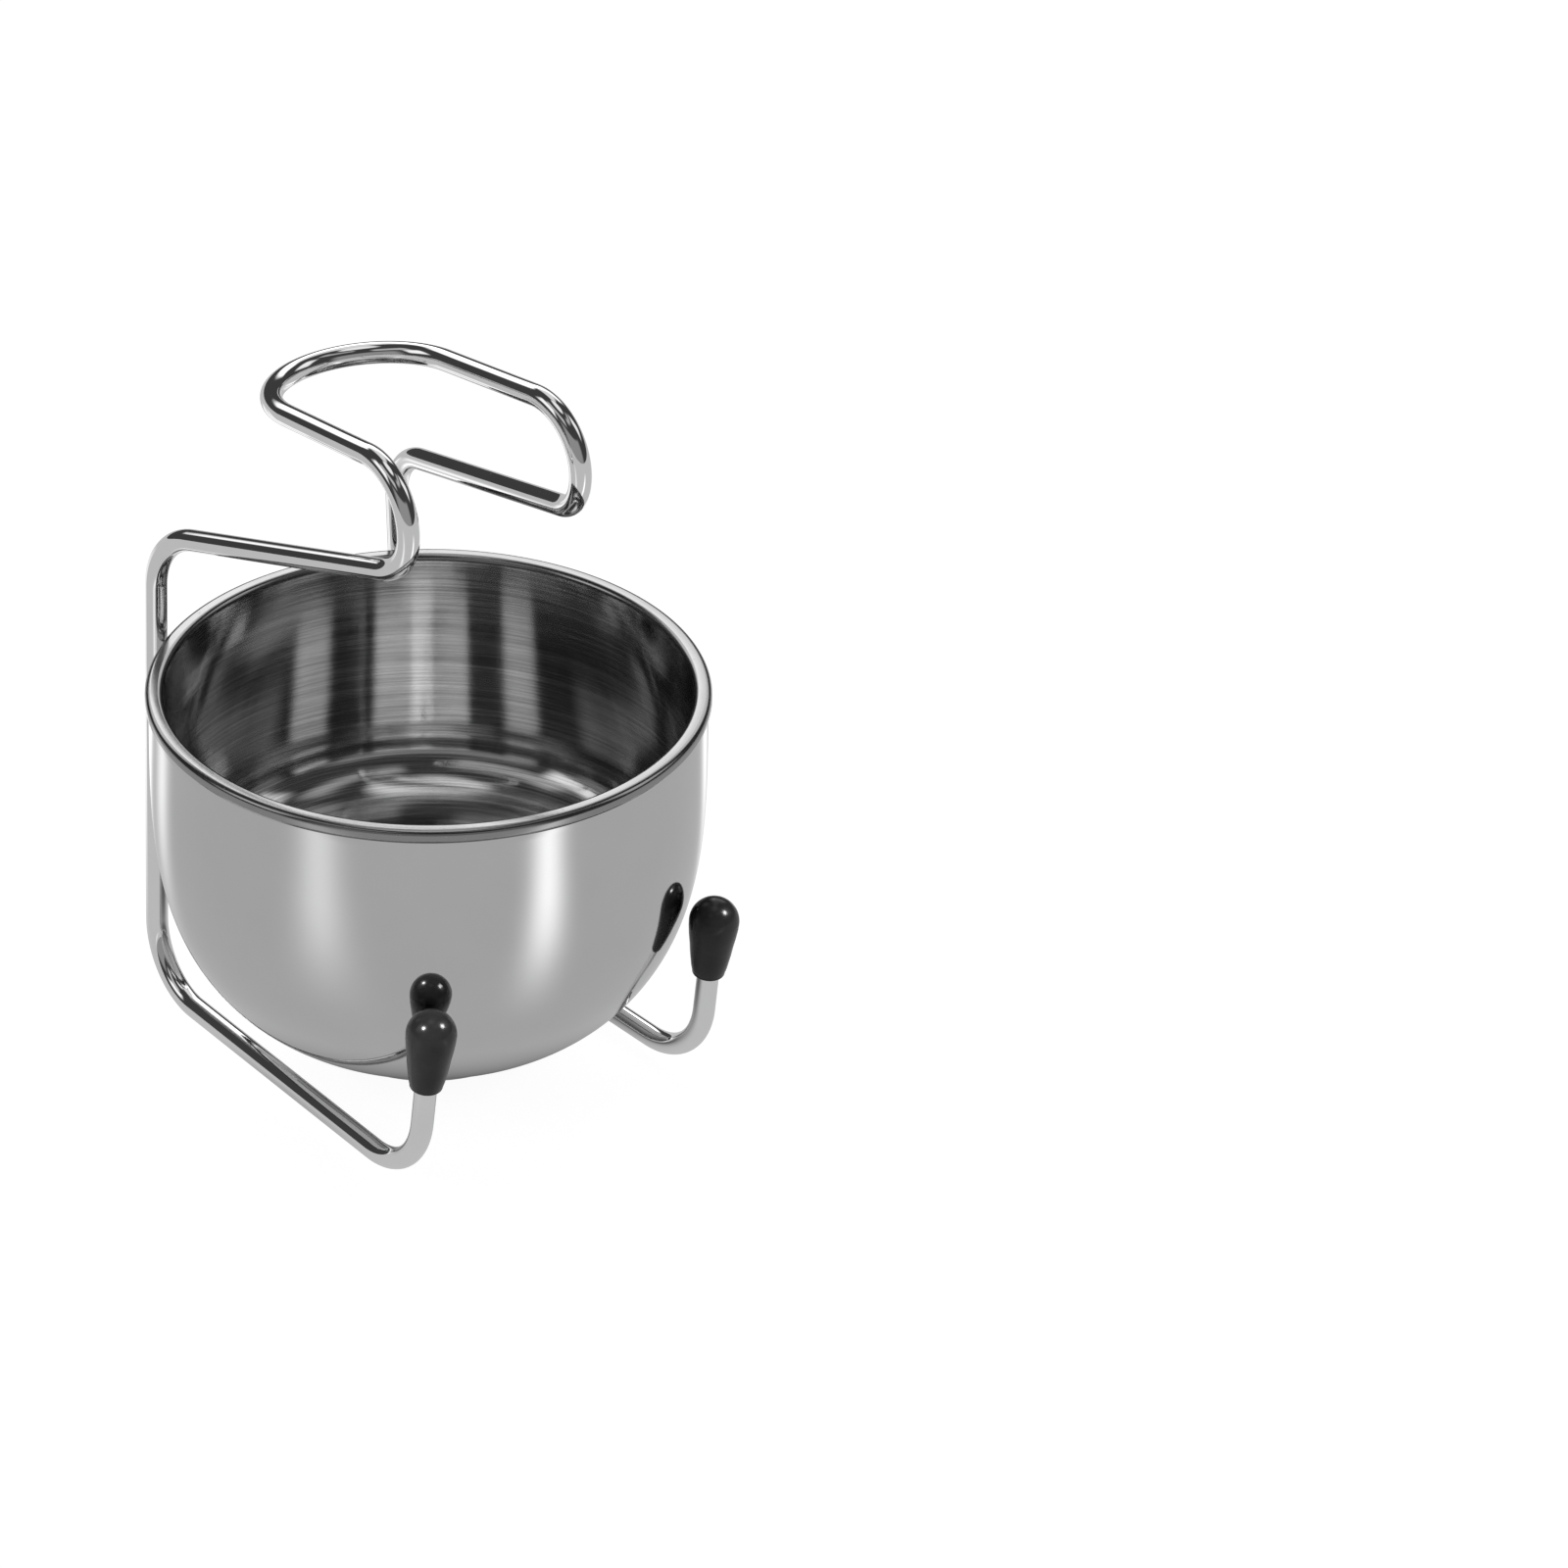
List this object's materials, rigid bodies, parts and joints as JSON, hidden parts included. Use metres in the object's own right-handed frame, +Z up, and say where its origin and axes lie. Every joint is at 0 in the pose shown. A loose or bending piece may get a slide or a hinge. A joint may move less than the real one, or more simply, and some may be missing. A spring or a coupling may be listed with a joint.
{
  "type": "shaving mug with wire stand",
  "caption": "Round double-walled steel shaving bowl with a rolled rim, held in a bent wire stand whose raised loop hangs a brush over the bowl; black teardrop tips keep the bowl in.",
  "frame": {"origin": "on the table, on the bowl's axis, which is also the centre of the whole object's footprint", "axes": "+Z up along the bowl's axis; -Y is the front, where the two tip caps stand; the posts stand at the back, at +Y; X is side to side"},
  "size_m": [0.1, 0.1, 0.1311],
  "materials": {
    "polished_steel": "mirror-polished stainless steel",
    "brushed_steel": "spin-brushed stainless steel with a polished rim",
    "satin_steel": "satin stainless steel",
    "chrome_wire": "bright chrome-plated steel wire",
    "black_rubber": "glossy moulded soft rubber"
  },
  "bodies": {
    "stand": {"wire_stand": "chrome_wire", "tip_cap_right": "black_rubber", "tip_cap_left": "black_rubber"},
    "bowl": {"outer_shell": "polished_steel", "liner": "brushed_steel", "foot_plate": "satin_steel"}
  },
  "joints": [
    {"name": "bowl_tilt", "type": "hinge", "parent": "stand", "child": "bowl", "pos_m": [0, 0.04303, 0.0729], "axis": [-1, 0, 0], "range_deg": [0, 55]}
  ]
}
